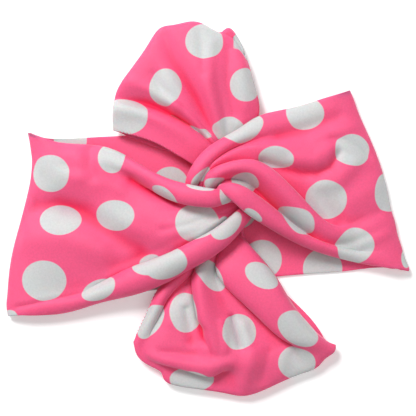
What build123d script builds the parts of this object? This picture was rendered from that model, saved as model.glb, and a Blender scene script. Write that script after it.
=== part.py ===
from build123d import *

import os
from math import cos, radians, sin

# Wide knit headband laid flat: a loop of doubled cloth whose front is hooked into a twist knot, with
# a bow held under the knot. The loop is two lengths of sewn tube, left and right, joined by a seam
# behind the knot. The back of the loop lies on Z = 0. The origin is on that face, straight under the
# middle of the knot. +X runs along the band and +Y across it, towards the smaller lobe of the bow.
# Sizes are in millimetres and angles in degrees.

# ---- the loop ----
ply = 2.0                    # one wall of the loop: both layers of the flattened tube
band_width = 114.0           # along a side fold
back_waist_width = 101.0     # across the back of the loop, behind the knot
back_waist_shift = -8.0      # the middle of that waist, along Y
back_seam_x = -6.0           # where the two tubes are sewn together
seam_allowance = 0.2         # daylight between the two tubes at that seam
fold_gap = 3.0               # daylight between the loop's two walls at a side fold
left_reach, left_fold_rise, left_fold_lean = 114.5, -21.5, 6.0
right_reach, right_fold_rise, right_fold_lean = 98.5, 5.5, 18.0

# ---- the knot ----
strand_radius = 5.5          # of the gathered cloth where the two bights hook round each other
knot_clearance = 1.0         # between the two bights
bight_tilt = 40.0            # of a bight's plane, from the horizontal
bight_arm = 7.0              # straight length of each arm past the bend
rest_gap = 0.5               # between pieces that lie on each other
end_gap = 0.6                # between a front panel's gathered end and its bight
left_gather_y, right_gather_y = -39.0, 29.0      # the low corner of each gathered end
low_corner_rise = 6.5                            # of that corner, above the waist of the bow

# ---- the bow ----
waist_thickness = 5.0
waist_half_width = 16.0
waist_gap = 0.4              # between the waist and a lobe
lobe_root_height = 6.0       # over both walls of a lobe, where it leaves the waist
lobe_height = 12.0           # the same at its far turn
lobe_rise_start, lobe_rise_end = 10.0, 34.0          # the front wall rises between these
top_root_centre, top_root_slope, top_root_width = (7.5, 33.3), 26.0, 52.0
bottom_root_centre, bottom_root_slope, bottom_root_width = (-7.5, -44.3), 30.0, 58.0
top_lean, top_reach = 8.0, 69.0
bottom_lean, bottom_reach = 19.5, 84.0
# Each lobe's outline past its root, as distance across the lobe and share of its reach.
top_outline = ((-60, 0.12), (-65, 0.36), (-34, 1.0), (12, 1.0), (20, 0.72), (23, 0.34))
bottom_outline = ((-38, 0.14), (-52, 0.38), (-44, 0.72), (-12, 1.0), (50, 1.0), (60, 0.88), (36, 0.2))

# ---- the sewing thread ----
thread = 0.4                 # height of a stitch as it lies on the cloth
thread_width = 0.8
closing_stitch, closing_pitch = 5.0, 4.5         # across the seam that joins the two tubes
tube_stitch, tube_pitch = 3.0, 4.5               # along the seam that makes each tube
overlock_stitch, overlock_pitch = 3.5, 3.0       # across the raw edge of the bow's cloth
tack_stitch, tack_pitch, tack_count = 6.0, 3.2, 5
edge_margin = 6.0            # from the last stitch of a row to the edge of the cloth
overlock_inset = 3.0         # from the middle of an overlock stitch to the edge it binds

# ---- worked out from the above ----
bight_radius = 2 * strand_radius + knot_clearance
arm_end = bight_radius / 2 + bight_arm
arm_spread = bight_radius * cos(radians(bight_tilt))
arm_rise = bight_radius * sin(radians(bight_tilt))
waist_base = ply + rest_gap
waist_top = waist_base + waist_thickness
knot_height = waist_top + rest_gap + strand_radius + arm_rise
fold_outer = ply + fold_gap / 2
front_wall = 1.5 * ply + fold_gap
low_corner_height = waist_top + low_corner_rise
os.makedirs("parts", exist_ok=True)


def fold_line(reach, rise, lean, side):
    """Middle, direction up the fold and outward direction of a side fold, seen from above."""
    up = Vector(-side * sin(radians(lean)), cos(radians(lean)))
    outward = Vector(side * cos(radians(lean)), sin(radians(lean)))
    return Vector(side * reach, rise), up, outward


left_middle, left_up, left_outward = fold_line(left_reach, left_fold_rise, left_fold_lean, -1)
right_middle, right_up, right_outward = fold_line(right_reach, right_fold_rise, right_fold_lean, 1)


# ---- the back of the loop: two flat walls that meet at the seam behind the knot ----
def back_panel(side):
    """The back wall of one tube: the whole back outline, drawn in at the waist, cut at the seam."""
    half = band_width / 2
    waist_upper = (0, back_waist_shift + back_waist_width / 2)
    waist_lower = (0, back_waist_shift - back_waist_width / 2)
    left_corners = (left_middle + left_up * half, left_middle - left_up * half)
    right_corners = (right_middle + right_up * half, right_middle - right_up * half)
    seam_plane = Plane.YZ.offset(back_seam_x + side * seam_allowance / 2)
    with BuildPart() as panel:
        with BuildSketch():
            with BuildLine():
                ThreePointArc(left_corners[0], waist_upper, right_corners[0])
                Line(right_corners[0], right_corners[1])
                ThreePointArc(right_corners[1], waist_lower, left_corners[1])
                Line(left_corners[1], left_corners[0])
            make_face()
        extrude(amount=ply)
        split(bisect_by=seam_plane, keep=Keep.TOP if side > 0 else Keep.BOTTOM)
    return panel


left_back_panel = back_panel(-1)
left_back_panel.part.label = "left_back_panel"
export_step(left_back_panel.part, "parts/left_back_panel.step")

right_back_panel = back_panel(1)
right_back_panel.part.label = "right_back_panel"
export_step(right_back_panel.part, "parts/right_back_panel.step")


# ---- the front of the loop: from each side fold, a wall that rises and narrows to the knot ----
def front_panel(middle, up, outward, high_corner, low_corner):
    """The turned side fold, and the ruled wall from it to a gathered end in the knot, whose one
    corner is high, over the other tube, and whose other corner is low, under it."""
    gathered = high_corner - low_corner
    end_normal = gathered.cross(Vector(0, 0, 1))
    if end_normal.dot(outward) < 0:
        end_normal = -end_normal
    fold_start = middle - up * (band_width / 2) + Vector(0, 0, fold_outer)
    with BuildPart() as panel:
        with BuildSketch(Plane(middle + Vector(0, 0, front_wall), x_dir=up, z_dir=outward)):
            Rectangle(band_width, ply)
        with BuildSketch(Plane((high_corner + low_corner) / 2, x_dir=gathered, z_dir=end_normal)):
            Rectangle(gathered.length, ply)
        loft(ruled=True)
        with BuildSketch(Plane(fold_start, x_dir=outward, z_dir=up)):
            Circle(fold_outer)
            Circle(fold_gap / 2, mode=Mode.SUBTRACT)
            with Locations((-fold_outer, 0)):
                Rectangle(2 * fold_outer, 2 * fold_outer, mode=Mode.SUBTRACT)
        extrude(amount=band_width)
    return panel


end_x = arm_end + end_gap + ply / 2
left_high_corner = Vector(-end_x, arm_spread, knot_height + arm_rise)
left_low_corner = Vector(-end_x, left_gather_y, low_corner_height)
right_high_corner = Vector(end_x, -arm_spread, knot_height + arm_rise)
right_low_corner = Vector(end_x, right_gather_y, low_corner_height)

left_front_panel = front_panel(left_middle, left_up, left_outward, left_high_corner, left_low_corner)
left_front_panel.part.label = "left_front_panel"
export_step(left_front_panel.part, "parts/left_front_panel.step")

right_front_panel = front_panel(right_middle, right_up, right_outward, right_high_corner,
                                right_low_corner)
right_front_panel.part.label = "right_front_panel"
export_step(right_front_panel.part, "parts/right_front_panel.step")


# ---- the knot: the gathered end of each tube is a bight, and the two bights are hooked ----
def knot_bight(side):
    """A round strand bent into a U that opens towards its own tube. One arm is high and one low,
    and the bend passes through the other tube's bight."""
    tilt = radians(bight_tilt)
    bight_plane = Plane((0, 0, knot_height), x_dir=(-side, 0, 0), z_dir=(0, side * sin(tilt), cos(tilt)))
    bend = -bight_radius / 2
    with BuildPart() as bight:
        with BuildLine(bight_plane) as path:
            Line((-arm_end, bight_radius), (bend, bight_radius))
            ThreePointArc((bend, bight_radius), (bend + bight_radius, 0), (bend, -bight_radius))
            Line((bend, -bight_radius), (-arm_end, -bight_radius))
        with BuildSketch(Plane(path.line @ 0, z_dir=path.line % 0)):
            Circle(strand_radius)
        sweep()
    return bight


left_knot_bight = knot_bight(-1)
left_knot_bight.part.label = "left_knot_bight"
export_step(left_knot_bight.part, "parts/left_knot_bight.step")

right_knot_bight = knot_bight(1)
right_knot_bight.part.label = "right_knot_bight"
export_step(right_knot_bight.part, "parts/right_knot_bight.step")


# ---- the bow: a gathered waist under the knot, and a lobe on each side of it ----
def root_end(centre, slope, distance):
    """A point on a lobe's root line, at a distance from its middle."""
    return Vector(*centre) + Vector(cos(radians(slope)), sin(radians(slope))) * distance


def root_inward(centre, slope):
    """The direction from a lobe's root line to the waist, square to the line."""
    across = Vector(-sin(radians(slope)), cos(radians(slope)))
    return across if centre[1] < 0 else -across


top_inset = root_inward(top_root_centre, top_root_slope) * waist_gap
bottom_inset = root_inward(bottom_root_centre, bottom_root_slope) * waist_gap
with BuildPart() as bow_waist:
    with BuildSketch(Plane.XY.offset(waist_base)):
        with BuildLine():
            Polyline(
                root_end(top_root_centre, top_root_slope, -top_root_width / 2) + top_inset,
                root_end(top_root_centre, top_root_slope, top_root_width / 2) + top_inset,
                (waist_half_width, 0),
                root_end(bottom_root_centre, bottom_root_slope, bottom_root_width / 2) + bottom_inset,
                root_end(bottom_root_centre, bottom_root_slope, -bottom_root_width / 2) + bottom_inset,
                (-waist_half_width, 0),
                close=True,
            )
        make_face()
    extrude(amount=waist_thickness)
bow_waist.part.label = "bow_waist"
export_step(bow_waist.part, "parts/bow_waist.step")


def lobe_axis(centre, lean):
    """The direction a lobe points in, and the direction across it, which is near +X."""
    axis = Vector(-sin(radians(lean)), cos(radians(lean)))
    if centre[1] < 0:
        axis = -axis
    across = Vector(abs(axis.Y), -axis.X if axis.Y > 0 else axis.X)
    return axis, across


def lobe(centre, slope, root_width, lean, reach, outline):
    """A flattened U of cloth: its back wall runs out along the table, turns back at the far end and
    comes home as the front wall. It is cut to its outline, which is a fan in plan."""
    axis, across = lobe_axis(centre, lean)
    middle = Vector(*centre)
    back_z = waist_base + ply / 2
    front_z = waist_base + lobe_height - ply / 2
    root_z = waist_base + lobe_root_height - ply / 2
    turn = (lobe_height - ply) / 2
    turn_at = reach - turn - ply / 2
    corners = [middle + across * aside + axis * (reach * share) for aside, share in outline]
    first_end = root_end(centre, slope, -root_width / 2)
    last_end = root_end(centre, slope, root_width / 2)
    profile_plane = Plane(middle - across * (2 * reach), x_dir=axis, z_dir=across)
    upward = 1 if profile_plane.y_dir.Z > 0 else -1
    with BuildPart() as cloth:
        with BuildSketch(profile_plane):
            with BuildLine():
                Line((-reach, upward * back_z), (turn_at, upward * back_z))
                ThreePointArc((turn_at, upward * back_z), (turn_at + turn, upward * (back_z + turn)),
                              (turn_at, upward * front_z))
                Polyline((turn_at, upward * front_z), (lobe_rise_end, upward * front_z),
                         (lobe_rise_start, upward * root_z), (-reach, upward * root_z))
                offset(amount=ply / 2)
            make_face()
        extrude(amount=4 * reach)
        with BuildSketch():
            with BuildLine():
                Polyline(first_end, *corners, last_end, close=True)
            make_face()
        extrude(amount=waist_base + 2 * lobe_height, mode=Mode.INTERSECT)
    return cloth


top_lobe = lobe(top_root_centre, top_root_slope, top_root_width, top_lean, top_reach, top_outline)
top_lobe.part.label = "top_lobe"
export_step(top_lobe.part, "parts/top_lobe.step")

bottom_lobe = lobe(bottom_root_centre, bottom_root_slope, bottom_root_width, bottom_lean,
                   bottom_reach, bottom_outline)
bottom_lobe.part.label = "bottom_lobe"
export_step(bottom_lobe.part, "parts/bottom_lobe.step")


# ---- the sewing: rows of stitches that lie on the cloth, each row one group of solids ----
def stitch_row(start, end, height, pitch, along, across):
    """A row of stitches from start to end, on the face at a height. Each is a bar of thread with
    the given lengths along the row and across it."""
    run = end - start
    count = int(run.length / pitch) + 1
    with BuildPart() as row:
        with BuildSketch(Plane((start + end) / 2 + Vector(0, 0, height), x_dir=run, z_dir=(0, 0, 1))):
            with GridLocations(pitch, pitch, count, 1):
                Rectangle(along, across)
        extrude(amount=thread)
    return row


seam_reach = Vector(0, back_waist_width / 2 - edge_margin)
seam_middle = Vector(back_seam_x, back_waist_shift)
closing_seam_stitches = stitch_row(seam_middle - seam_reach, seam_middle + seam_reach, ply,
                                   closing_pitch, thread_width, closing_stitch)
closing_seam_stitches.part.label = "closing_seam_stitches"
export_step(closing_seam_stitches.part, "parts/closing_seam_stitches.step")

left_tube_seam_stitches = stitch_row(left_middle - left_outward * edge_margin,
                                     seam_middle - Vector(edge_margin, 0), ply,
                                     tube_pitch, tube_stitch, thread_width)
left_tube_seam_stitches.part.label = "left_tube_seam_stitches"
export_step(left_tube_seam_stitches.part, "parts/left_tube_seam_stitches.step")

right_tube_seam_stitches = stitch_row(seam_middle + Vector(edge_margin, 0),
                                      right_middle - right_outward * edge_margin, ply,
                                      tube_pitch, tube_stitch, thread_width)
right_tube_seam_stitches.part.label = "right_tube_seam_stitches"
export_step(right_tube_seam_stitches.part, "parts/right_tube_seam_stitches.step")

tack_reach = Vector(tack_pitch * (tack_count - 1) / 2, 0)
knot_tack_stitches = stitch_row(-tack_reach, tack_reach, waist_top, tack_pitch, thread_width, tack_stitch)
knot_tack_stitches.part.label = "knot_tack_stitches"
export_step(knot_tack_stitches.part, "parts/knot_tack_stitches.step")


def overlock_row(centre, lean, reach, edge_start, edge_end):
    """Stitches square to one straight edge of a lobe, on the inside of the lobe's back wall."""
    axis, across = lobe_axis(centre, lean)
    run = edge_end - edge_start
    margin = run.normalized() * edge_margin
    inward = Vector(-run.Y, run.X).normalized() * overlock_inset
    if inward.dot(Vector(*centre) + axis * (reach / 2) - edge_start) < 0:
        inward = -inward
    return stitch_row(edge_start + margin + inward, edge_end - margin + inward, waist_base + ply,
                      overlock_pitch, thread_width, overlock_stitch)


def outline_corner(centre, lean, reach, corner):
    """One corner of a lobe's outline, in plan."""
    axis, across = lobe_axis(centre, lean)
    return Vector(*centre) + across * corner[0] + axis * (reach * corner[1])


top_lobe_overlock = overlock_row(
    top_root_centre, top_lean, top_reach,
    root_end(top_root_centre, top_root_slope, -top_root_width / 2),
    outline_corner(top_root_centre, top_lean, top_reach, top_outline[0]))
top_lobe_overlock.part.label = "top_lobe_overlock"
export_step(top_lobe_overlock.part, "parts/top_lobe_overlock.step")

bottom_lobe_overlock = overlock_row(
    bottom_root_centre, bottom_lean, bottom_reach,
    outline_corner(bottom_root_centre, bottom_lean, bottom_reach, bottom_outline[0]),
    outline_corner(bottom_root_centre, bottom_lean, bottom_reach, bottom_outline[1]))
bottom_lobe_overlock.part.label = "bottom_lobe_overlock"
export_step(bottom_lobe_overlock.part, "parts/bottom_lobe_overlock.step")
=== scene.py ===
import bpy
import numpy as np
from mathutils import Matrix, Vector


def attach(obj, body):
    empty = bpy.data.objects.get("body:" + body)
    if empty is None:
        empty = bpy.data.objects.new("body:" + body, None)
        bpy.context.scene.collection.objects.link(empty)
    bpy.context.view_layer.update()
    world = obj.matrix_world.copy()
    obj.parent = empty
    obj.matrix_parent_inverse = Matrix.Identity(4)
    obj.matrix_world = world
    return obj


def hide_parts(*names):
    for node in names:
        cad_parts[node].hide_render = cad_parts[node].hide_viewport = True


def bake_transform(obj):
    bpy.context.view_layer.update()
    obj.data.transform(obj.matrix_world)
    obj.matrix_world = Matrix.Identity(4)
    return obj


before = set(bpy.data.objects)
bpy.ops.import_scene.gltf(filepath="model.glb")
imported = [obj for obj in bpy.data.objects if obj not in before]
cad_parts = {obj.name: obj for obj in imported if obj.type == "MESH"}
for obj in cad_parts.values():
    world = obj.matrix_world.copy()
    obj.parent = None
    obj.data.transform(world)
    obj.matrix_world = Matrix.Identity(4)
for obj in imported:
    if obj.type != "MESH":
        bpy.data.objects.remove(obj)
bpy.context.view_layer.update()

# ---------------------------------------------------------------------------------------------
# The setting: a pale floor under the flattened band, a camera straight above it, and soft light
# from two large panels and a bright room. None of it belongs to the band.
# ---------------------------------------------------------------------------------------------
camera_height = 0.90
view_width = 0.2538                        # of the floor, across the picture
view_centre = (-0.0024, -0.0110)
sensor_width = 0.036

camera_data = bpy.data.cameras.new("camera")
camera_data.sensor_width = sensor_width * 1000
camera_data.lens = sensor_width * 1000 * camera_height / view_width
camera = bpy.data.objects.new("camera", camera_data)
camera.location = (*view_centre, camera_height)
bpy.context.scene.collection.objects.link(camera)
bpy.context.scene.camera = camera
bpy.context.scene.view_settings.view_transform = "Standard"

floor_size = 3.0
floor_drop = 0.0002                        # below the cloth, so that the two faces don't fight
floor_mesh = bpy.data.meshes.new("floor")
floor_corners = [(x * floor_size / 2, y * floor_size / 2, -floor_drop)
                 for x, y in ((-1, -1), (1, -1), (1, 1), (-1, 1))]
floor_mesh.from_pydata(floor_corners, [], [(0, 1, 2, 3)])
floor = bpy.data.objects.new("floor", floor_mesh)
bpy.context.scene.collection.objects.link(floor)
floor_material = bpy.data.materials.new("pale_floor")
floor_material.use_nodes = True
floor_shader = floor_material.node_tree.nodes["Principled BSDF"]
floor_shader.inputs["Base Color"].default_value = (0.95, 0.95, 0.95, 1)
floor_shader.inputs["Emission Color"].default_value = (1, 1, 1, 1)
floor_shader.inputs["Emission Strength"].default_value = 0.22
floor_shader.inputs["Roughness"].default_value = 0.9
floor_mesh.materials.append(floor_material)


def add_panel(name, place, aim, size, watts):
    """A square light of the given size at place, turned to face the point aim."""
    light = bpy.data.lights.new(name, "AREA")
    light.size = size
    light.energy = watts
    holder = bpy.data.objects.new(name, light)
    holder.location = place
    holder.rotation_euler = (Vector(aim) - Vector(place)).to_track_quat("-Z", "Y").to_euler()
    bpy.context.scene.collection.objects.link(holder)


add_panel("key_panel", (-0.55, 0.82, 1.08), (0, 0, 0), 0.50, 20.0)
add_panel("fill_panel", (0.50, -0.30, 1.20), (0, 0, 0), 0.90, 3.0)
world = bpy.data.worlds.new("bright_room")
world.use_nodes = True
world.node_tree.nodes["Background"].inputs["Color"].default_value = (1.0, 0.99, 0.985, 1)
world.node_tree.nodes["Background"].inputs["Strength"].default_value = 0.30
bpy.context.scene.world = world


# ---------------------------------------------------------------------------------------------
# Left tube: half of the loop. A strip of brushed stretch knit is sewn into a flat tube, laid
# along the floor from the seam behind the knot to the left side fold, turned back there, and
# gathered into the knot, with its two edges rolled into strands that hook round the right tube.
# ---------------------------------------------------------------------------------------------
MM = 0.001
ply = 1.8                                  # both layers of the flattened tube
knit_pink = (0.93, 0.105, 0.260)
knit_white = (0.62, 0.63, 0.63)
# Painted shade: the darker, redder pink and pinkish grey that the knit and its dots take in creases, in
# place of shadow and light bounced between the pink folds.
crease_shade_pink = (0.82, 0.010, 0.085)
crease_shade_white = (0.56, 0.44, 0.48)
dot_radius = 12.0
dot_search = 2.0                           # in plan round a dot's centre, where its layer is found
layer_pull = 0.35                          # what 1 mm of height counts for in that search
far_cost = 20.0                            # what a point outside it counts for, besides its distance
dot_run_along, dot_run_across = 1.7, 3.0   # radii of cloth from a dot's centre, past which it ends
cloth_pitch = 1.1                          # between neighbouring points of a cloth's grid
rim_steps = (0.0, 0.05, 0.2, 0.5, 1.0)     # of a grid's first points, in half plies
rim_clear = 1.4                            # from the rim to the first even step, in half plies
crease_shade_reach = 9                             # steps of the grid round a point that its crease depth, for the painted shade, is judged by
crease_shade_start, crease_shade_range = 0.5, 2.6          # depth where the painted crease shade starts, and its growth


def spline_weights(knots, at):
    """Natural cubic spline as a matrix: its row for parameter u, times the values at the knots, is
    the spline at u. Between two knots it is a*p + b*q + ((a^3-a)*p'' + (b^3-b)*q'')*h^2/6, with a
    and b the shares of the gap h to each end. The second derivatives are 0 at both ends and
    elsewhere make the slope continuous."""
    count = len(knots)
    gaps = np.diff(knots)
    slopes = np.eye(count)
    bends = np.zeros((count, count))
    inner = np.arange(1, count - 1)
    slopes[inner, inner - 1] = gaps[:-1] / 6
    slopes[inner, inner] = (gaps[:-1] + gaps[1:]) / 3
    slopes[inner, inner + 1] = gaps[1:] / 6
    bends[inner, inner - 1] = 1 / gaps[:-1]
    bends[inner, inner] = -1 / gaps[:-1] - 1 / gaps[1:]
    bends[inner, inner + 1] = 1 / gaps[1:]
    second = np.linalg.solve(slopes, bends)
    left = np.clip(np.searchsorted(knots, at, side="right") - 1, 0, count - 2)
    gap = gaps[left]
    b = (at - knots[left]) / gap
    a = 1 - b
    values = np.eye(count)
    return (a[:, None] * values[left] + b[:, None] * values[left + 1]
            + ((a ** 3 - a) * gap ** 2 / 6)[:, None] * second[left]
            + ((b ** 3 - b) * gap ** 2 / 6)[:, None] * second[left + 1])


def steps_along(length):
    """Parameters from 0 to 1 along a length in mm: even steps of the cloth's pitch, with closer ones
    in the first and last half ply, where the rim is rounded."""
    even = np.linspace(0, 1, max(int(length / cloth_pitch), 8) + 1)
    rim = np.array(rim_steps) * (ply / 2) / length
    inside = even[(even > rim_clear * rim[-1]) & (even < 1 - rim_clear * rim[-1])]
    return np.concatenate([rim, inside, (1 - rim)[::-1]])


def carry_cloth(lines):
    """A smooth surface through a set of lines that run the same way and have a point at each of the
    same stations. It is a cubic spline along the lines and another across them, both by mean
    chord length. Gives a grid of points, first along and then across."""
    net = np.array(lines, float)
    along = np.linalg.norm(np.diff(net, axis=1), axis=2).mean(0)
    across = np.linalg.norm(np.diff(net, axis=0), axis=2).mean(1)
    along_knots = np.concatenate([[0], np.cumsum(along)])
    across_knots = np.concatenate([[0], np.cumsum(across)])
    u = steps_along(along_knots[-1]) * along_knots[-1]
    v = steps_along(across_knots[-1]) * across_knots[-1]
    return np.einsum("uk,lkc,vl->uvc", spline_weights(along_knots, u), net,
                     spline_weights(across_knots, v))


def run_lengths(grid, axis):
    """Length of cloth from the first row or column of a grid to each of its points."""
    steps = np.linalg.norm(np.diff(grid, axis=axis), axis=2)
    start = np.zeros_like(np.take(steps, [0], axis))
    return np.concatenate([start, np.cumsum(steps, axis)], axis)


def press_folds(grid, folds, only_above):
    """Raises or lowers the layers of a grid above a height along folds. A fold is (points in plan,
    half width, height): each point rises by height * exp(-(distance to the fold / half width)^2),
    times a weight from 0 at only_above to 1 at 2 mm over it."""
    rise = np.zeros(grid.shape[:2])
    for points, half_width, height in folds:
        nearest = np.full(rise.shape, np.inf)
        for start, end in zip(points[:-1], points[1:]):
            start, run = np.array(start), np.array(end) - np.array(start)
            away = grid[:, :, :2] - start
            share = np.clip((away @ run) / (run @ run), 0, 1)
            nearest = np.minimum(nearest, np.linalg.norm(away - share[..., None] * run, axis=2))
        rise += height * np.exp(-(nearest / half_width) ** 2)
    grid[:, :, 2] += rise * np.clip((grid[:, :, 2] - only_above) / 2, 0, 1)


def print_dots(grid, upper, lower=()):
    """Signed distance in mm from each point of a cloth to the edge of the nearest printed dot,
    positive inside it. A dot is (x, y, rx, ry, turn): its centre in plan, its radii as the cloth
    stretches it, and their turn in degrees. It lies on the highest layer there, or on the lowest.
    Distance is r * (1 - sqrt((a/rx)^2 + (b/ry)^2 + (dz/r)^2)), with a and b the plan offset in the
    turned axes and r the mean radius. It also ends where the run of cloth from its centre passes
    dot_run_along or dot_run_across of its larger radius, and so doesn't reach another layer."""
    along = run_lengths(grid, 0)
    across = run_lengths(grid, 1)
    inside = np.full(grid.shape[:2], -dot_radius)
    for side, dots in ((1, upper), (-1, lower)):
        for x, y, rx, ry, turn in dots:
            off = np.hypot(grid[:, :, 0] - x, grid[:, :, 1] - y)
            score = np.where(off < dot_search, off - side * layer_pull * grid[:, :, 2], off + far_cost)
            row, column = np.unravel_index(score.argmin(), score.shape)
            run_u = np.abs(along - along[row])
            run_v = np.abs(across - across[:, [column]])
            dx, dy, dz = np.moveaxis(grid - grid[row, column], 2, 0)
            c, d = np.cos(np.radians(turn)), np.sin(np.radians(turn))
            a, b = dx * c + dy * d, dy * c - dx * d
            r = (rx + ry) / 2
            away = np.sqrt((a / rx) ** 2 + (b / ry) ** 2 + (dz / r) ** 2)
            reach = np.maximum(run_u / dot_run_along, run_v / dot_run_across) / max(rx, ry)
            inside = np.maximum(inside, r * (1 - np.maximum(away, reach)))
    return inside


# Painted shade: this depth darkens and reddens the knit's colour in creases, in place of shadow there.
def crease_shade_depth(grid):
    """How far each point of a cloth lies in a fold, from 0 to 1: its height below the mean of the
    points round it, weighted exp(-(steps/crease_shade_reach)^2) along and across, less crease_shade_start and over
    crease_shade_range."""
    window = 2 * crease_shade_reach
    steps = np.arange(-window, window + 1)
    weights = np.exp(-(steps / crease_shade_reach) ** 2)
    weights /= weights.sum()
    mean = np.pad(grid[:, :, 2], window, mode="edge")
    for axis in (0, 1):
        mean = np.apply_along_axis(np.convolve, axis, mean, weights, mode="valid")
    return np.clip((mean - grid[:, :, 2] - crease_shade_start) / crease_shade_range, 0, 1)


def make_cloth(name, grid, inside, thickness=ply):
    """A closed mesh round a grid of mid-surface points. Its two faces stand half the thickness off
    the grid along its normals, times sqrt(1 - (1 - d)^2) within half a thickness of the rim,
    with d the distance to the rim in half thicknesses, so the rim is a half circle. No point
    goes below the floor."""
    grid[:, :, 2] = np.maximum(grid[:, :, 2], thickness / 2)
    along = run_lengths(grid, 0)
    across = run_lengths(grid, 1)
    normal = np.cross(np.gradient(grid, axis=0), np.gradient(grid, axis=1))
    normal /= np.maximum(np.linalg.norm(normal, axis=2, keepdims=True), 1e-9)
    to_rim = np.minimum(np.minimum(along, along[-1:] - along),
                        np.minimum(across, across[:, -1:] - across))
    round_off = np.sqrt(np.clip(1 - (1 - np.clip(to_rim / (thickness / 2), 0, 1)) ** 2, 0, 1))
    lift = normal * (round_off * thickness / 2)[..., None]
    rows, columns = grid.shape[:2]
    rim = np.ones((rows, columns), bool)
    rim[1:-1, 1:-1] = False
    upper = np.arange(rows * columns).reshape(rows, columns)
    lower = upper.copy()
    lower[~rim] = rows * columns + np.arange((~rim).sum())
    points = np.concatenate([(grid + lift).reshape(-1, 3), (grid - lift)[~rim]]) * MM
    points[:, 2] = np.maximum(points[:, 2], 0)

    def on_both_faces(values):
        """Values of the grid, for the upper face's points and then the lower face's own."""
        return np.concatenate([values.ravel(), values[~rim]])

    def quads(index, turn):
        """Faces between neighbouring points of an index grid, turned one way or the other."""
        corners = [index[:-1, :-1], index[1:, :-1], index[1:, 1:], index[:-1, 1:]]
        return np.stack(corners[::turn], -1).reshape(-1, 4)

    faces = np.concatenate([quads(upper, 1), quads(lower, -1)])
    mesh = bpy.data.meshes.new(name)
    mesh.from_pydata(points, [], faces.tolist())
    mesh.polygons.foreach_set("use_smooth", np.ones(len(faces), bool))
    # The dot attribute is the print; the fold attribute is crease depth, which paints shade into the knit's
    # colour.
    for label, values in (("dot", inside), ("fold", crease_shade_depth(grid))):
        attribute = mesh.attributes.new(label, "FLOAT", "POINT")
        attribute.data.foreach_set("value", on_both_faces(values).astype(np.float32))
    runs = np.stack([on_both_faces(along), on_both_faces(across)], -1)
    layer = mesh.uv_layers.new(name="cloth")
    layer.data.foreach_set("uv", (runs[faces.ravel()] * MM).astype(np.float32).ravel())
    mesh.validate()
    piece = bpy.data.objects.new(name, mesh)
    bpy.context.scene.collection.objects.link(piece)
    bpy.context.view_layer.update()
    return piece


def brushed_knit(name):
    """Brushed stretch knit with printed dots. Colour is pink outside the dots and off-white inside,
    by the dot attribute, and painted darker and redder in creases, as shade, by the fold attribute.
    The bump is fine ribs along the cloth, stitches across them, and a brushed nap."""
    material = bpy.data.materials.new(name)
    material.use_nodes = True
    tree = material.node_tree
    shader = tree.nodes["Principled BSDF"]

    def node(kind, **settings):
        """A new node of a kind, with its settings."""
        made = tree.nodes.new(kind)
        for key, value in settings.items():
            setattr(made, key, value)
        return made

    def join(source, target):
        """A link from one node's output to another's input."""
        tree.links.new(source, target)

    printed = node("ShaderNodeAttribute", attribute_name="dot")
    edge = node("ShaderNodeMapRange", interpolation_type="SMOOTHSTEP")
    edge.inputs["From Min"].default_value = -0.30
    edge.inputs["From Max"].default_value = 0.30
    join(printed.outputs["Fac"], edge.inputs["Value"])
    place = node("ShaderNodeTexCoord")
    mottle = node("ShaderNodeTexNoise")
    mottle.inputs["Scale"].default_value = 900.0
    mottle.inputs["Detail"].default_value = 3.0
    join(place.outputs["Object"], mottle.inputs["Vector"])
    wear = node("ShaderNodeMapRange")
    wear.inputs["To Min"].default_value = 0.86
    wear.inputs["To Max"].default_value = 1.10
    join(mottle.outputs["Fac"], wear.inputs["Value"])
    colour = node("ShaderNodeMix", data_type="RGBA")
    join(edge.outputs["Result"], colour.inputs["Factor"])
    # Painted shade: by the fold attribute the pink and the dots' white are mixed toward darker, redder
    # colours in creases, in place of shadow and pink interreflection.
    crease_shade_amount = node("ShaderNodeAttribute", attribute_name="fold")
    for socket, open_colour, shaded_colour in (("A", knit_pink, crease_shade_pink), ("B", knit_white, crease_shade_white)):
        tone = node("ShaderNodeMix", data_type="RGBA")
        tone.inputs["A"].default_value = (*open_colour, 1)
        tone.inputs["B"].default_value = (*shaded_colour, 1)
        join(crease_shade_amount.outputs["Fac"], tone.inputs["Factor"])
        join(tone.outputs["Result"], colour.inputs[socket])
    worn = node("ShaderNodeVectorMath", operation="SCALE")
    join(colour.outputs["Result"], worn.inputs[0])
    join(wear.outputs["Result"], worn.inputs["Scale"])
    join(worn.outputs["Vector"], shader.inputs["Base Color"])
    grain = node("ShaderNodeUVMap", uv_map="cloth")
    ribs = node("ShaderNodeTexWave", wave_type="BANDS", bands_direction="Y")
    ribs.inputs["Scale"].default_value = 450.0
    ribs.inputs["Distortion"].default_value = 0.6
    courses = node("ShaderNodeTexWave", wave_type="BANDS", bands_direction="X")
    courses.inputs["Scale"].default_value = 620.0
    join(grain.outputs["UV"], ribs.inputs["Vector"])
    join(grain.outputs["UV"], courses.inputs["Vector"])
    weave = node("ShaderNodeMath", operation="MULTIPLY")
    join(ribs.outputs["Fac"], weave.inputs[0])
    join(courses.outputs["Fac"], weave.inputs[1])
    nap = node("ShaderNodeMath", operation="ADD")
    join(weave.outputs["Value"], nap.inputs[0])
    join(mottle.outputs["Fac"], nap.inputs[1])
    bump = node("ShaderNodeBump")
    bump.inputs["Strength"].default_value = 0.25
    bump.inputs["Distance"].default_value = 0.00025
    join(nap.outputs["Value"], bump.inputs["Height"])
    join(bump.outputs["Normal"], shader.inputs["Normal"])
    shader.inputs["Roughness"].default_value = 0.62
    shader.inputs["Specular IOR Level"].default_value = 0.45
    shader.inputs["Sheen Weight"].default_value = 0.30
    shader.inputs["Sheen Roughness"].default_value = 0.35
    shader.inputs["Sheen Tint"].default_value = (1.0, 0.75, 0.82, 1)
    shader.inputs["Subsurface Weight"].default_value = 0.5
    shader.inputs["Subsurface Radius"].default_value = (1.0, 0.25, 0.4)
    shader.inputs["Subsurface Scale"].default_value = 0.0015
    return material


dotted_knit = brushed_knit("dotted_knit")

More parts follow.
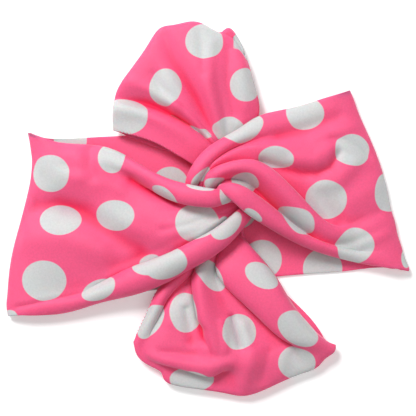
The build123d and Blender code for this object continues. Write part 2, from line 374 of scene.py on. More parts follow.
back_height = 1.0                          # of the middle of the cloth that lies on the floor
front_height = 6.0                         # of the middle of the front wall at a side fold
turn_inset = 3.5                           # from a side fold's outline to where its turn starts
turn_nose = 1.0                            # from that outline to the middle of the cloth
turn_lead = 2.5                            # from the end of the back's even run to the turn
turn_ease = 0.1                            # by which the turn has left each wall's level at its start
seam_x = -6.0                              # of the closing seam, behind the knot
seam_top, seam_bottom = 40.0, -58.5        # its ends
seam_gap = 0.1                             # between the edges of the two tubes there


def loop_wall(front, edge_x, sag):
    """Lines of one tube, from its edge at the closing seam along the floor, round the side fold
    and on along the front. Each front line's first point lies on the fold's outline. The back's
    top and bottom edges bow in by sag * 4*u*(1-u), with u from 0 to 1 along the back."""
    lines = []
    shares = np.linspace(0, 1, len(front))
    for share, line in zip(shares, front):
        line = np.array(line, float)
        fold, ahead = line[0], line[1]
        inward = (ahead - fold)[:2] / np.linalg.norm((ahead - fold)[:2])
        seam = np.array([edge_x, seam_top + (seam_bottom - seam_top) * share])
        back_end = fold[:2] + inward * (turn_inset + turn_lead)
        bow = np.array([0, sag * (1 - 2 * share) * 4])
        back = [[*(seam + (back_end - seam) * u - bow * u * (1 - u)), back_height]
                for u in (0, 0.25, 0.5, 0.75, 1)]
        turn = [[*(fold[:2] + inward * turn_inset), back_height + turn_ease],
                [*(fold[:2] + inward * turn_nose), (back_height + front_height) / 2],
                [*(fold[:2] + inward * turn_inset), front_height - turn_ease]]
        lines.append(back + turn + line[1:].tolist())
    return lines


left_front = [
    # under the upper strand, its outer edge, crest and inner side, and the foot hidden beneath it
    [(-111.5, 33, 5.5), (-92.5, 26, 5), (-69.5, 23, 5), (-50.5, 16, 9), (-36.5, 7, 13),
     (-22, 0.5, 17), (-9, -2.5, 19.5), (2, -4, 19.5), (11.5, -3.5, 15), (21.5, -6, 10)],
    [(-112, 35, 6), (-93, 28, 7), (-69, 26, 8), (-51, 19.2, 12), (-36.6, 10.4, 17),
     (-22, 4.3, 22), (-9, 1.2, 25.5), (1.5, -0.5, 26), (11.5, -1, 19), (22, -3, 12)],
    [(-111, 30, 6.5), (-92, 24, 9.5), (-68, 20.5, 12), (-49, 13.5, 16), (-35, 6.5, 22),
     (-21.5, -0.5, 27), (-8.5, -3, 30), (2, -4.5, 29.5), (12, -3.5, 22.5), (22.5, -5.5, 15)],
    [(-110, 23, 6.5), (-90, 18, 10), (-66.5, 14.5, 12), (-47, 8, 14.5), (-34.5, -0.5, 18.5),
     (-20.7, -7, 23), (-7.5, -9.5, 25.5), (2.4, -9.5, 25), (11, -7, 19), (22, -8.5, 12)],
    [(-109.5, 19, 6.5), (-89, 13.5, 10), (-64.5, 9.5, 11.5), (-46, 3.5, 12), (-34.5, 0.5, 13),
     (-21, -4, 15.5), (-8, -6.5, 18), (2, -7, 17.5), (11, -5.5, 14.5), (21.5, -8, 10)],
    # the broad middle
    [(-110, 9, 6.5), (-88, 7.5, 12), (-63.5, 2.5, 13), (-44, -2.5, 13), (-32.5, -5.5, 14),
     (-19.5, -10.5, 16.5), (-7.5, -13, 18), (2.5, -12, 17.5), (11, -9, 14), (20.5, -8.5, 9)],
    [(-113, -6, 6.5), (-89, -6, 9.5), (-63.5, -9, 12), (-42, -12, 15), (-28.5, -14.5, 17),
     (-17, -17, 19), (-6.5, -17.5, 19.5), (3, -15, 18), (11.5, -10.5, 14), (20.5, -9, 9)],
    [(-117, -21.5, 6.5), (-91.5, -19.5, 10), (-65.5, -21.5, 12.5), (-41, -23, 15.5),
     (-25.5, -24, 19), (-14.5, -23, 20), (-5, -21.5, 19.5), (4.5, -17.5, 17.5), (12, -12, 13.5),
     (20.5, -10, 9)],
    [(-121, -36.5, 6.5), (-94, -35, 12), (-68.5, -35, 12.5), (-42, -34, 13), (-25.5, -32.5, 16.5),
     (-13.5, -29.5, 17.5), (-3.5, -25.5, 17.5), (5.5, -19.5, 16), (13, -13.5, 13), (20.5, -10.5, 8.5)],
    # the foot hidden beneath the lower strand, its inner side, crest and outer edge, and under it
    [(-124, -57, 6.5), (-95, -58, 9), (-70, -56, 9.5), (-49.5, -50.5, 9.5), (-35, -46, 11),
     (-21, -40, 13.5), (-8.5, -34, 15.5), (2, -28, 15.5), (11.5, -19.5, 13.5), (20.5, -10.5, 9)],
    [(-124.5, -64, 6.5), (-95, -64.5, 9), (-70, -58.5, 11), (-50, -48, 14), (-35.5, -42.5, 17.5),
     (-21.5, -36.5, 20.5), (-9, -30, 22.5), (1, -24.5, 22.5), (11, -17, 19), (20, -9, 13)],
    [(-125, -69, 6.5), (-94.5, -69.5, 10), (-68, -62.5, 14), (-47.5, -54.5, 18.5), (-32.5, -48.5, 22),
     (-19, -41.5, 25), (-6, -35.5, 26.5), (5, -28.5, 25.5), (14, -20, 21), (22.5, -11.5, 14.5)],
    [(-124.5, -75, 6), (-93.5, -74.5, 7), (-67.5, -67.5, 9), (-45, -62, 12), (-28.5, -55.5, 15),
     (-15, -48, 18), (-2.5, -41, 20), (8.5, -33, 19.5), (17, -24, 16), (25, -14, 11)],
    [(-124, -77, 5), (-92.5, -72.5, 4.5), (-67, -65.5, 5), (-45, -58.5, 8), (-30, -52.5, 11),
     (-17, -46, 13), (-5, -39, 15), (6, -31, 15), (15, -22, 12.5), (23, -13, 8)],
]
left_cloth = carry_cloth(loop_wall(left_front, seam_x - seam_gap / 2, sag=2.5))
press_folds(left_cloth, [
    ([(-112, 18), (-71, 12)], 8, 2.0),
    ([(-121, -11), (-93, -8), (-77, -13.5), (-62, -25.5), (-44, -35)], 6.5, -3.0),
    ([(-121, -30), (-87, -27), (-68, -37)], 8, 2.2),
    ([(-60, -12), (-45, -24), (-30, -31)], 6, 1.2),
    ([(-38, -15), (-7, -28)], 7, 1.5),
    ([(-52, 9), (-38, 1), (-24, -5)], 3.0, -1.4),
    ([(-74, 24), (-71, 8)], 3.5, -1.8),
    ([(-82, 22), (-80, 8)], 4, 1.0),
    ([(-70, 12), (-56, 2)], 5, 1.2),
    ([(-48, 6), (-34, -3), (-22, -9)], 3.2, -2.2),
    ([(-30, -24), (-14, -21), (0, -15)], 2.2, -0.9),
    ([(-24, -33), (-8, -27), (6, -17)], 2.2, 0.8),
    ([(-118, -71), (-79, -63), (-55, -51)], 1.6, -1.2),
    ([(-60, -46), (-38, -38), (-20, -31)], 3.0, -1.0),
], only_above=5.5)
left_dots = print_dots(left_cloth, [
    (-97.6, 9.2, 12, 11, 0), (-91.5, -17.7, 12.5, 9.5, 0), (-59, -15.3, 12.2, 9.2, 0),
    (-101, -54.3, 13.4, 12.2, 0), (-60.5, 19.5, 8, 9.5, 0), (-28.5, -4, 9.5, 5, -30),
    (-9, -19.5, 13, 11.5, 0), (-39, -44, 10.5, 7.5, 0), (-27.5, -44, 13, 8.5, 20),
    (-67.7, -59.5, 11.5, 6, 20), (-122, -77, 5, 4, 0), (8.5, -20.5, 12, 6.2, 43), (8, -4, 5, 5, 0),
    (-7.3, 1.8, 8.5, 1.8, -10)],
    [(-86, 30, 10, 10, 0), (-25, 3.5, 11, 11, 0), (-39.5, -60, 12, 12, 0), (-57, -6, 12, 12, 0),
     (-88, -20, 12, 12, 0), (-66, -38, 12, 12, 0), (-26, -30, 12, 12, 0), (-98, -56, 12, 12, 0),
     (-5, 26, 12, 12, 0)])
left_tube = make_cloth("left_tube", left_cloth, left_dots)
left_tube.data.materials.append(dotted_knit)
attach(left_tube, "band")
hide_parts("left_back_panel", "left_front_panel", "left_knot_bight")


# ---------------------------------------------------------------------------------------------
# Right tube: the other half of the loop, made the same way. Its upper edge, a ridge inside it and
# its lower strand curl round the middle of the knot. The lower strand lies over the left tube.
# ---------------------------------------------------------------------------------------------
right_front = [
    # under the upper edge, the edge, its crest, and the valley inside it
    [(85, 58, 5), (53.5, 47.5, 6), (31.5, 42, 8), (19, 35, 11), (8.5, 28, 13), (-2, 20.5, 15),
     (-9, 12, 15.5), (-12, 5, 13), (-11, -3, 10)],
    [(84, 60.5, 6), (53, 50, 8), (30.5, 44.5, 11), (17, 36.5, 14.5), (6, 30, 17), (-4.5, 22.5, 19),
     (-11.5, 13.5, 20), (-15, 5, 17), (-14, -3, 12)],
    [(86, 56, 6.5), (55.5, 45, 11), (33, 38.5, 15), (19, 32.5, 18.5), (8, 26.5, 21.5),
     (-2, 18.5, 24), (-8.5, 10.5, 24.5), (-12, 3.5, 20.5), (-11.5, -3.5, 14)],
    [(89, 47.5, 6.5), (60.5, 37, 10.5), (37, 33, 13), (21.5, 29, 15), (9, 23, 17), (-0.5, 15.5, 18.5),
     (-5.5, 8.5, 18.5), (-9, 2.5, 15.5), (-9, -4.5, 11)],
    # the broad middle, and the foot hidden beneath the ridge
    [(94.5, 35, 6.5), (69.5, 27, 13), (47, 27, 15.5), (27.5, 27, 17), (13, 23.5, 18.5),
     (3, 17.5, 20), (-3.5, 11, 20), (-7, 4, 17.5), (-7.5, -4.5, 12)],
    [(102.5, 15, 6.5), (81, 6, 12), (60, 10, 13.5), (42.5, 17.5, 15.5), (26.5, 20, 18),
     (13, 18.5, 19.5), (3, 14, 20), (-3.5, 7.5, 18.5), (-5.5, -3.5, 12)],
    [(107, -2, 6.5), (90, -16, 9), (72, -21, 9.5), (53, -8.5, 12), (38, 5.5, 15), (24, 14.5, 17.5),
     (8, 12.5, 18.5), (-1, 7.5, 17.5), (-3.5, -2.5, 11.5)],
    # the ridge: its outer side, crest and inner side, and the tuck beneath it
    [(107.5, -5, 6.5), (91, -18, 9.5), (74.5, -23, 12.5), (56, -8, 17.5), (40.5, 7.5, 20.5),
     (24.5, 17, 22.5), (7.5, 14.8, 23.5), (-2.5, 9, 21.5), (-4.5, -1.5, 14)],
    [(108.5, -10, 7), (91, -22, 10), (73.5, -27, 13.5), (53.5, -12.5, 20), (38, 3, 24),
     (24, 12.5, 26), (9.5, 12.3, 27), (0, 7.5, 25), (-3, -2.5, 16)],
    [(110, -15, 7), (91, -26, 9.5), (71.5, -30.5, 11), (50, -17, 14), (34, -2.5, 16.5),
     (22.5, 7, 19.5), (11.5, 9, 22.5), (3.5, 6, 22.5), (-1, -3, 15)],
    [(111.5, -20, 7), (91.5, -29.5, 8.5), (71.5, -32.5, 9), (50, -20, 10.5), (34.5, -6.5, 12),
     (23.5, 3, 14.5), (13, 6.5, 17.5), (5.5, 4.8, 18.5), (1, -3, 13.5)],
    # the cloth between the ridge and the lower strand
    [(113, -27, 7), (92.5, -33, 8), (73, -34.5, 8.5), (51.5, -24, 10), (36.5, -11.5, 11.5),
     (25.5, -2, 14.5), (15.5, 3.5, 18.5), (8, 3.3, 19.5), (3, -3, 14.5)],
    # the foot hidden beneath the lower strand, its inner side, crest and outer edge, and under it
    [(115.5, -35, 7), (93, -37, 7.5), (75, -34.5, 7.5), (56, -27.5, 9.5), (40.5, -17.5, 11.5),
     (28, -7.5, 14), (18, 0, 17.5), (10.5, 1.7, 18.5), (6, -2.5, 14)],
    [(116, -37, 7), (93.5, -38.5, 8), (75.5, -35, 10), (56, -27, 15), (41, -15, 20), (28, -5, 25),
     (17.5, 1.5, 27.5), (10, 3.3, 26), (5, 2, 20)],
    [(118, -43, 6.5), (96.5, -42, 8.5), (75.5, -37, 12), (55.5, -29.5, 18), (38.5, -19.2, 25),
     (24.5, -10, 30), (16, -3, 32), (10, 0, 29.5), (3.5, 1, 22)],
    [(120.2, -48.6, 6), (97, -45, 6.5), (74.5, -40, 8), (54, -32.8, 13), (37.5, -24, 19), (23, -15, 25),
     (15, -8.5, 28), (8, -2.5, 26), (2.5, 0, 19)],
    [(119.8, -49.2, 5), (98, -43, 4.7), (76.5, -37.5, 5.5), (56.5, -30, 9), (40.5, -20.5, 14), (27, -12, 19),
     (18.5, -6.5, 22), (10.5, -2.5, 21), (4.5, -0.5, 16)],
]
right_cloth = carry_cloth(loop_wall(right_front, seam_x + seam_gap / 2, sag=1.5))
press_folds(right_cloth, [
    ([(30, 17), (43, 13), (54, 10.5), (63, 10), (71, 13.5), (76.5, 22)], 2.8, -3.0),
    ([(50, 18), (62, 18), (70, 25)], 4, 1.5),
    ([(62, 2), (76, 5), (86, 16)], 4, 1.6),
    ([(72, 31), (80, 30), (88, 26), (96, 20)], 2.0, -1.4),
    ([(76, 44), (58, 38), (40, 33)], 4, -1.6),
    ([(90, 40), (62, 31)], 3, 1.0),
    ([(104, 6), (84, -8)], 6, 1.4),
    ([(100, -14), (86, -22)], 4, -1.4),
    ([(62, -4), (72, -18)], 3.0, 1.0),
    ([(25, 0), (31, -7), (44, -18), (60, -27.5)], 3.0, -1.6),
    ([(108, -26), (90, -33)], 3, 1.0),
], only_above=5.5)
right_dots = print_dots(right_cloth, [
    (56, 45.8, 11.5, 10, 0), (85, 25, 11.5, 9.8, 0), (109.5, -0.6, 10, 11.8, 0), (68.5, -5, 12.5, 12, 0),
    (86.3, -33.5, 12, 10.4, 0), (50, -17.8, 12.3, 9.6, -32), (38, 18.5, 11, 6.8, -5),
    (20, 6, 9, 9, -30), (19, 37, 13, 7.5, 28), (25, -15.5, 7, 2.5, -40), (119.5, -41, 3, 6, 0),
    (-6.7, 7.2, 8, 2.8, 50), (1.8, 4, 6.3, 3.8, 20)],
    [(30, -43, 12, 12, 0), (67, -48, 12, 12, 0), (48, -12, 12, 12, 0), (16, -12, 12, 12, 0),
     (82, -14, 12, 12, 0), (16, 24, 12, 12, 0), (50, 24, 12, 12, 0), (80, 26, 12, 12, 0)])
right_tube = make_cloth("right_tube", right_cloth, right_dots)
right_tube.data.materials.append(dotted_knit)
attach(right_tube, "band")
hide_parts("right_back_panel", "right_front_panel", "right_knot_bight")


# ---------------------------------------------------------------------------------------------
# Top lobe of the bow: a strip of the same knit, gathered under the knot, run out over the back of
# the loop, turned back on itself and brought home. Its raw edge shows at the lower left.
# ---------------------------------------------------------------------------------------------
lobe_back_height = 3.5                     # of the middle of a lobe's back wall
rim_inset = 3.0                            # from a lobe's outline to where its far turn starts
side_rise = 0.6                            # of the back wall's first side, as it comes home
gathers = ((-2, 0.94, 1.8), (-1, 0.88, 2.4))   # station, share of the width kept, rise of a pleat


def lobe_wall(front):
    """Lines of a lobe, from its root along the front wall, round the far turn and back along the
    floor side to the root. Each front line's last point lies on the far outline. At its last two
    stations, halfway home and at the root, the floor side draws in toward the middle line and
    every second line rises into a pleat."""
    lines = []
    for line in front:
        line = np.array(line, float)
        root, rim = line[0], line[-1]
        inward = (line[-2] - rim)[:2] / np.linalg.norm((line[-2] - rim)[:2])
        near_rim = rim[:2] + inward * rim_inset
        home = [[*(near_rim + (root[:2] - near_rim) * u), lobe_back_height] for u in (0, 0.1, 0.5, 1)]
        lines.append(line.tolist() + home)
    net = np.array(lines)
    middle = net[len(net) // 2]
    for station, keep, pleat in gathers:
        net[:, station, :2] = middle[station, :2] + (net[:, station, :2] - middle[station, :2]) * keep
        net[2:-1:2, station, 2] += pleat
        net[0, station, 2] += side_rise
    return net


top_front = [
    # the roll along the raw edge: the edge, its crest, its far side, and the foot hidden behind it
    [(1, 7.5, 6), (-12, 15.5, 9.5), (-27, 24.5, 11.5), (-43, 31.5, 11), (-59, 35.6, 6.5)],
    [(1, 16, 8), (-11, 26, 12), (-28, 35.5, 13.5), (-44, 42, 12.5), (-59.3, 44.5, 8)],
    [(1.5, 24.5, 8), (-13.5, 36.5, 10.5), (-29, 44, 12), (-44, 49, 11.5), (-58.5, 52, 8.5)],
    [(1.5, 25.5, 6), (-13, 38.5, 6.5), (-28, 46.5, 7), (-43, 52, 7), (-58, 55, 6.5)],
    # the broad front, with one long valley through it
    [(2, 26.5, 8), (-13.5, 42, 11.5), (-28, 51.5, 12), (-42, 57.5, 10), (-56.5, 60, 7.5)],
    [(2.5, 27.5, 8), (-15, 48.5, 13.5), (-29, 59.5, 13.5), (-38.5, 67, 12), (-47.5, 73.5, 8)],
    [(3, 28.5, 8), (-14, 54, 13), (-25, 68, 14), (-31.5, 78.5, 12.5), (-37.5, 88, 8)],
    [(4, 30, 7), (-9, 54, 10.5), (-18, 69.5, 12), (-25, 83, 12), (-31, 97, 7.5)],
    [(6, 30.5, 8), (-3, 56, 14), (-10, 73, 15), (-17, 87, 13.5), (-22, 99, 8)],
    [(8.5, 31, 8), (3.5, 58, 13), (-1.5, 76, 14.5), (-5.5, 89, 13), (-8.5, 100.5, 8)],
    [(11, 31.5, 8), (10, 58, 12), (8, 75, 13), (6, 86.5, 11.5), (4.7, 94.3, 7.5)],
    [(14, 32.5, 8), (19, 54, 12), (18, 70, 12.5), (14, 85, 11), (9.8, 97.3, 5.5)],
    [(18.5, 32.5, 6.5), (28.5, 47.5, 7), (25.5, 62, 7), (22.5, 73, 7), (18.7, 85, 5.5)],
]
top_cloth = carry_cloth(lobe_wall(top_front))
press_folds(top_cloth, [
    ([(-28, 92), (-24, 78), (-16.5, 66.5), (-9, 54), (-2, 36)], 4.0, -1.5),
    ([(-35, 70), (-31, 59), (-26, 50)], 3.0, -1.3),
    ([(4, 95.5), (12.5, 92), (15, 88.5), (19, 82)], 1.3, -2.0),
    ([(-52, 66), (-36, 60), (-22, 50)], 3, 1.2),
    ([(0, 88), (-2, 62), (3, 40)], 3.5, 1.2),
    ([(13, 46), (9, 66), (10, 84)], 3, -1.2),
    ([(20, 50), (17, 74)], 3, 0.8),
    ([(-8, 95), (-5, 70)], 2.5, -0.8),
], only_above=6.5)
top_dots = print_dots(top_cloth, [
    (-5.2, 89.4, 11.3, 10.6, 0), (-28.5, 61.5, 9.5, 11, 0), (20, 63.5, 9.5, 10, 0), (-52, 44, 14, 11, 0),
    (10, 36, 9.5, 7.5, 0), (-7.5, 35, 8, 2, -28)],
    [(21.5, 88, 7, 9.5, 0), (-20, 62, 12, 12, 0), (10, 56, 12, 12, 0)])
top_lobe = make_cloth("top_lobe_cloth", top_cloth, top_dots)
top_lobe.data.materials.append(dotted_knit)
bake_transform(top_lobe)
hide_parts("top_lobe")


# ---------------------------------------------------------------------------------------------
# Bottom lobe of the bow: the other end of the strip, longer and fuller, with deep pleats that run
# out from the knot and one wide roll along its right side.
# ---------------------------------------------------------------------------------------------
bottom_front = [
    # the roll along the left side: its outer edge, crest and inner side
    [(1, -28, 5), (-16, -45, 6), (-32, -60, 6.5), (-37.5, -71, 6.5), (-42.5, -81.5, 6.5),
     (-45, -86.5, 6.5), (-46, -89, 6), (-46.8, -91, 5.2)],
    [(2, -29, 8), (-13.5, -46.5, 11), (-28.5, -61, 12.5), (-34, -71.5, 12), (-39, -82, 10.5),
     (-43, -89.5, 8.5), (-44.5, -92.5, 7.5), (-46, -95.5, 5.2)],
    [(2.5, -29.5, 8), (-11.5, -47.5, 10.5), (-25.5, -61.5, 11), (-31.5, -72, 10.5), (-37, -83, 9.5),
     (-41.5, -91.5, 8), (-43.5, -95, 7), (-45, -99, 5.2)],
    # the cloth between the roll and the middle pleat
    [(3, -30, 7), (-12.5, -50, 6.8), (-26, -64, 7.2), (-32, -75, 7.5), (-37, -86, 8), (-40, -96, 8),
     (-40.5, -100, 7), (-41, -103.5, 5.2)],
    [(4, -31, 7.5), (-8.5, -53, 7.5), (-18.5, -70, 10), (-24, -82, 11), (-29, -93.5, 11.5),
     (-31, -104, 10), (-30.5, -105, 7.5), (-30.5, -109.8, 5.2)],
    # the middle pleat: the foot hidden beneath it, its left side, crest and right side
    [(4.5, -31.5, 7), (-9, -51, 6.8), (-9, -66, 7.5), (-8, -79, 8.5), (-9, -92, 10),
     (-18, -107.5, 11), (-18, -106, 7.2), (-26.8, -116.5, 5.2)],
    [(5, -32, 8.5), (-10.5, -50.5, 12.5), (-10.3, -66, 14), (-7.5, -79, 14), (-4, -91.5, 13),
     (-8, -110.5, 11.5), (-8, -108, 7.2), (-12, -120, 5.2)],
    [(6, -32.5, 9), (-7.5, -51, 15), (-6.5, -66, 17), (-3.5, -79, 17), (1, -92, 15.5),
     (1, -111.5, 11.5), (1.5, -109.5, 7.5), (0, -121.5, 5.2)],
    [(7, -33, 8.5), (-3, -52, 13), (2, -68, 12), (7, -81, 12.5), (11, -92, 13), (11, -106, 12),
     (13, -111, 8), (12, -123.5, 5.2)],
    [(8.5, -33, 8.5), (0.5, -51, 10.5), (8, -68.5, 9.5), (16, -82, 10.5), (23.5, -94.5, 12),
     (22.5, -107.5, 13), (21, -115.5, 9.5), (20.5, -124, 5.2)],
    # the deep valley, and the foot hidden beneath the wide roll
    [(9.5, -33, 8), (2, -50, 9.5), (14.5, -68, 8.5), (26.5, -81, 8), (38, -93, 8.5), (40, -103, 9.5),
     (40, -110.5, 8.5), (37, -118, 5.2)],
    [(10, -32.5, 8), (5.5, -49.5, 9), (19, -65.5, 8.5), (32, -77.5, 8), (46.5, -90.5, 8.5),
     (52.5, -98.5, 8.5), (54.5, -104.5, 7.5), (52, -111.5, 5.2)],
    # the wide roll: its inner side, crest and outer edge, and under it
    [(8, -32, 10), (3.5, -49, 14), (17, -65.5, 15), (29, -77, 15), (44, -90, 14), (56, -95.5, 11.5),
     (60, -100, 9), (62.5, -107.5, 5.2)],
    [(11, -31, 11), (13, -44.5, 17), (27, -61, 19.5), (39, -74, 19.5), (52.5, -87.5, 17),
     (62, -94, 13.5), (65.5, -97.5, 10.5), (68, -101.5, 6)],
    [(15, -28, 9), (24.5, -38, 13), (38, -55, 15), (47.5, -70, 15), (58.5, -83.5, 13),
     (66, -90.5, 11), (70.5, -94.5, 9), (73.5, -97, 6)],
    [(16, -26, 6), (25, -37, 8), (38.5, -53.5, 7.5), (48, -69, 7), (59, -82.5, 7), (66.5, -90, 7),
     (70.5, -92.5, 6.5), (74, -93.5, 5.5)],
]
bottom_cloth = carry_cloth(lobe_wall(bottom_front))
press_folds(bottom_cloth, [
    ([(-11.5, -47), (-10.5, -62), (-8.5, -77), (-5, -89), (0, -99)], 1.8, -2.5),
    ([(12, -77), (14, -86), (17, -95)], 2.0, -2.6),
    ([(6, -80), (8, -96)], 2.0, 1.6),
    ([(19, -82), (22, -92)], 2.4, 1.2),
    ([(24, -98), (19, -118)], 3.5, 1.8),
    ([(34, -98), (30, -114)], 3.5, -1.4),
    ([(44, -98), (41, -113)], 3, 1.0),
    ([(-16, -72), (-13, -92)], 2.2, -2.0),
    ([(-24, -66), (-26, -80)], 3, 1.0),
    ([(50, -99), (56, -106)], 2.5, -1.0),
    ([(-40, -100), (-20, -104), (-2, -107), (10, -104)], 3.0, 1.4),
    ([(-30, -98), (-14, -99), (2, -101)], 2.6, -1.6),
], only_above=6.5)
bottom_dots = print_dots(bottom_cloth, [
    (-16.5, -74.8, 9.5, 12, 0), (15, -85.7, 11, 11, 0), (52, -83, 14, 9, -35), (51, -104, 11.5, 10, 0),
    (-12.5, -115, 13.5, 7.5, 0), (-37, -79.5, 6.5, 12, -35), (-0.5, -51.5, 6.8, 11.5, 40),
    (29.5, -52.5, 11, 7, -30), (11, -28, 6, 5, 0)],
    [(8, -92, 12, 12, 0), (38, -80, 12, 12, 0), (14, -62, 12, 12, 0)])
bottom_lobe = make_cloth("bottom_lobe_cloth", bottom_cloth, bottom_dots)
bottom_lobe.data.materials.append(dotted_knit)
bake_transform(bottom_lobe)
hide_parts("bottom_lobe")


# ---------------------------------------------------------------------------------------------
# Waist of the bow: the middle of the same strip, gathered into close pleats and held flat between
# the back of the loop and the knot, where it is tacked.
# ---------------------------------------------------------------------------------------------
waist_ply = 1.1
waist_pleats = 14
waist_left, waist_right = -8.0, 20.0
waist_flare = 0.12                         # by which the pleats fan out at both ends
pleat_low, pleat_high = 3.5, 6.7           # of the middle of the cloth
pleat_mean = (pleat_low + pleat_high) / 2

waist_lines = []
for pleat_side in range(2 * waist_pleats + 1):
    x = waist_left + (waist_right - waist_left) * pleat_side / (2 * waist_pleats)
    flare = (x - (waist_left + waist_right) / 2) * waist_flare
    height = pleat_high if pleat_side % 2 else pleat_low
    end_height = (height + pleat_mean) / 2
    waist_lines.append([(x + flare, 32, end_height), (x, 20, height), (x - 1.5, 0, height),
                        (x - 2, -20, height), (x - 1 + flare, -33, end_height)])
waist_cloth = carry_cloth(waist_lines)
waist_dots = print_dots(waist_cloth, [(5, 12, 9, 9, 0), (2, -22, 9, 9, 0)])
bow_waist = make_cloth("bow_waist_cloth", waist_cloth, waist_dots, waist_ply)
bow_waist.data.materials.append(dotted_knit)
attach(bow_waist, "band")
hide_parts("bow_waist")


# ---------------------------------------------------------------------------------------------
# Seams: the closing seam that joins the two tubes, the lengthwise seam of each tube, and the tacks
# under the knot. Each stitch is a short arch of polyester thread with its ends in the cloth.
# ---------------------------------------------------------------------------------------------
thread_radius = 0.22
stitch_rise = 0.32                         # of the middle of an arch over the cloth
stitch_sink = 0.25                         # of its ends into the cloth
stitch_pitch = 4.5
tack_pitch = 3.2
arch_points = 9
thread_sides = 6

thread_material = bpy.data.materials.new("twisted_thread")
thread_material.use_nodes = True
thread_tree = thread_material.node_tree
thread_shader = thread_tree.nodes["Principled BSDF"]
thread_place = thread_tree.nodes.new("ShaderNodeTexCoord")
thread_twist = thread_tree.nodes.new("ShaderNodeTexWave")
thread_twist.bands_direction = "DIAGONAL"
thread_twist.inputs["Scale"].default_value = 900.0
thread_twist.inputs["Distortion"].default_value = 1.0
thread_colour = thread_tree.nodes.new("ShaderNodeMix")
thread_colour.data_type = "RGBA"
thread_colour.inputs["A"].default_value = (0.80, 0.09, 0.22, 1)
thread_colour.inputs["B"].default_value = (0.95, 0.22, 0.38, 1)
thread_bump = thread_tree.nodes.new("ShaderNodeBump")
thread_bump.inputs["Strength"].default_value = 0.4
thread_bump.inputs["Distance"].default_value = 0.0001
thread_tree.links.new(thread_place.outputs["Object"], thread_twist.inputs["Vector"])
thread_tree.links.new(thread_twist.outputs["Fac"], thread_colour.inputs["Factor"])
thread_tree.links.new(thread_colour.outputs["Result"], thread_shader.inputs["Base Color"])
thread_tree.links.new(thread_twist.outputs["Fac"], thread_bump.inputs["Height"])
thread_tree.links.new(thread_bump.outputs["Normal"], thread_shader.inputs["Normal"])
thread_shader.inputs["Roughness"].default_value = 0.55


def make_threads(name, paths, sides):
    """Closed round threads along paths, an array of (thread, point, xyz). The ring at a point is
    r * (a*cos(w) + b*sin(w)), with a and b square to the path, from the vector sides, which is
    nowhere along it."""
    tangent = np.gradient(paths, axis=1)
    tangent /= np.linalg.norm(tangent, axis=2, keepdims=True)
    a = np.cross(tangent, sides)
    a /= np.linalg.norm(a, axis=2, keepdims=True)
    b = np.cross(tangent, a)
    turn = np.arange(thread_sides) * 2 * np.pi / thread_sides
    ring = a[:, :, None] * np.cos(turn)[:, None] + b[:, :, None] * np.sin(turn)[:, None]
    points = paths[:, :, None] + thread_radius * ring
    count, length = paths.shape[:2]
    index = np.arange(count * length * thread_sides).reshape(count, length, thread_sides)
    after = np.roll(index, -1, axis=2)
    wall = np.stack([index[:, :-1], after[:, :-1], after[:, 1:], index[:, 1:]], -1).reshape(-1, 4)
    caps = index[:, 0, ::-1].tolist() + index[:, -1].tolist()
    mesh = bpy.data.meshes.new(name)
    mesh.from_pydata(points.reshape(-1, 3) * MM, [], wall.tolist() + caps)
    mesh.polygons.foreach_set("use_smooth", np.ones(len(mesh.polygons), bool))
    piece = bpy.data.objects.new(name, mesh)
    bpy.context.scene.collection.objects.link(piece)
    piece.data.materials.append(thread_material)
    return piece


def stitch_arches(start, end, pitch, reach):
    """Paths of a row of stitches from start to end, one at each pitch. Each runs from -reach/2 to
    +reach/2 of its place and rises as sin(pi*t)."""
    start, end, reach = np.array(start, float), np.array(end, float), np.array(reach, float)
    count = int(round(np.linalg.norm(end - start) / pitch)) + 1
    places = start + (end - start) * np.linspace(0, 1, count)[:, None]
    t = np.linspace(0, 1, arch_points)
    arch = reach * (t[:, None] - 0.5)
    arch[:, 2] += -stitch_sink + (stitch_sink + stitch_rise) * np.sin(np.pi * t)
    return places[:, None] + arch


back_top = back_height + ply / 2
upright = np.array([0.0, 0.0, 1.0])
closing_seam = make_threads("closing_seam_threads", stitch_arches(
    (seam_x, -50.0, back_top), (seam_x, 34.0, back_top), stitch_pitch, (5.0, 0, 0)), upright)
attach(closing_seam, "band")
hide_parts("closing_seam_stitches")

left_seam = make_threads("left_tube_seam_threads", stitch_arches(
    (-107, -22.2, back_top), (-13.5, -7.9, back_top), stitch_pitch, (3.0, 0.45, 0)), upright)
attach(left_seam, "band")
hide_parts("left_tube_seam_stitches")

right_seam = make_threads("right_tube_seam_threads", stitch_arches(
    (1.7, -8.2, back_top), (91, 3.8, back_top), stitch_pitch, (3.0, 0.4, 0)), upright)
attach(right_seam, "band")
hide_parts("right_tube_seam_stitches")

waist_top = pleat_high + waist_ply / 2
knot_tacks = make_threads("knot_tack_threads", stitch_arches(
    (-2, -1, waist_top), (11, -1, waist_top), tack_pitch, (0, 6.0, 0)), upright)
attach(knot_tacks, "band")
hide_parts("knot_tack_stitches")


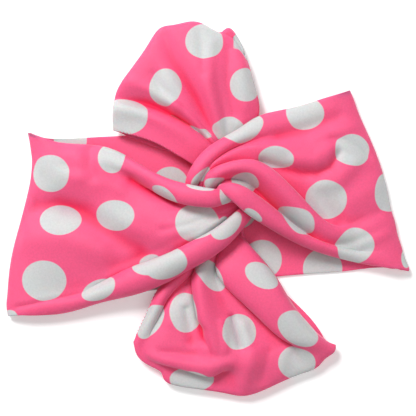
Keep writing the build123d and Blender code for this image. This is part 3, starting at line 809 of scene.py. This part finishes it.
# ---------------------------------------------------------------------------------------------
# Overlocking: thread wound round the raw edges of the bow's strip, along the top lobe's roll and
# the bottom lobe's left side. It holds the knit from running and makes the edge rough.
# ---------------------------------------------------------------------------------------------
overlock_turn = 2.2                        # between two turns of the thread
overlock_reach = 0.60                      # half the width of a turn
overlock_height = 0.98                     # half its height, just over the cloth's face
overlock_inset = 0.85                      # how far its middle lies inside the edge, in reaches
overlock_points = 14                       # round one turn
inner_column = 6                           # of a cloth's grid, that the way in from the edge aims at


def wind_edge(cloth, rows):
    """Path of a thread wound round the first column of a cloth, along a run of its rows. Round the
    turn w it is edge + inward*reach*(inset + cos(w)) + normal*height*sin(w), with w growing
    evenly along the edge."""
    edge = cloth[rows, 0]
    inward = cloth[rows, inner_column] - edge
    inward /= np.linalg.norm(inward, axis=1, keepdims=True)
    normal = np.cross(np.gradient(edge, axis=0), inward)
    normal /= np.linalg.norm(normal, axis=1, keepdims=True)
    length = np.concatenate([[0], np.cumsum(np.linalg.norm(np.diff(edge, axis=0), axis=1))])
    turns = length[-1] / overlock_turn
    at = np.linspace(0, length[-1], int(turns * overlock_points))
    w = at / overlock_turn * 2 * np.pi

    def along_edge(values):
        """Values at the rows, read off at even lengths."""
        return np.stack([np.interp(at, length, values[:, axis]) for axis in range(3)], -1)

    in_reach = (overlock_reach * (overlock_inset + np.cos(w)))[:, None]
    out_height = (overlock_height * np.sin(w))[:, None]
    return (along_edge(edge) + along_edge(inward) * in_reach + along_edge(normal) * out_height)[None]


def rows_between(cloth, axis, low, high):
    """The run of rows whose first column is between two places on an axis, before the far turn."""
    edge = cloth[:len(cloth) // 2, 0, axis]
    return np.flatnonzero((edge > low) & (edge < high))


top_overlock = make_threads("top_lobe_overlock_thread", wind_edge(
    top_cloth, rows_between(top_cloth, 0, -57, -19)), np.array([0.85, -0.52, 0.0]))
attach(top_overlock, "top_lobe_body")
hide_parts("top_lobe_overlock")

bottom_overlock = make_threads("bottom_lobe_overlock_thread", wind_edge(
    bottom_cloth, rows_between(bottom_cloth, 1, -88, -62)), np.array([-0.45, -0.89, 0.0]))
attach(bottom_overlock, "bottom_lobe_body")
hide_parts("bottom_lobe_overlock")
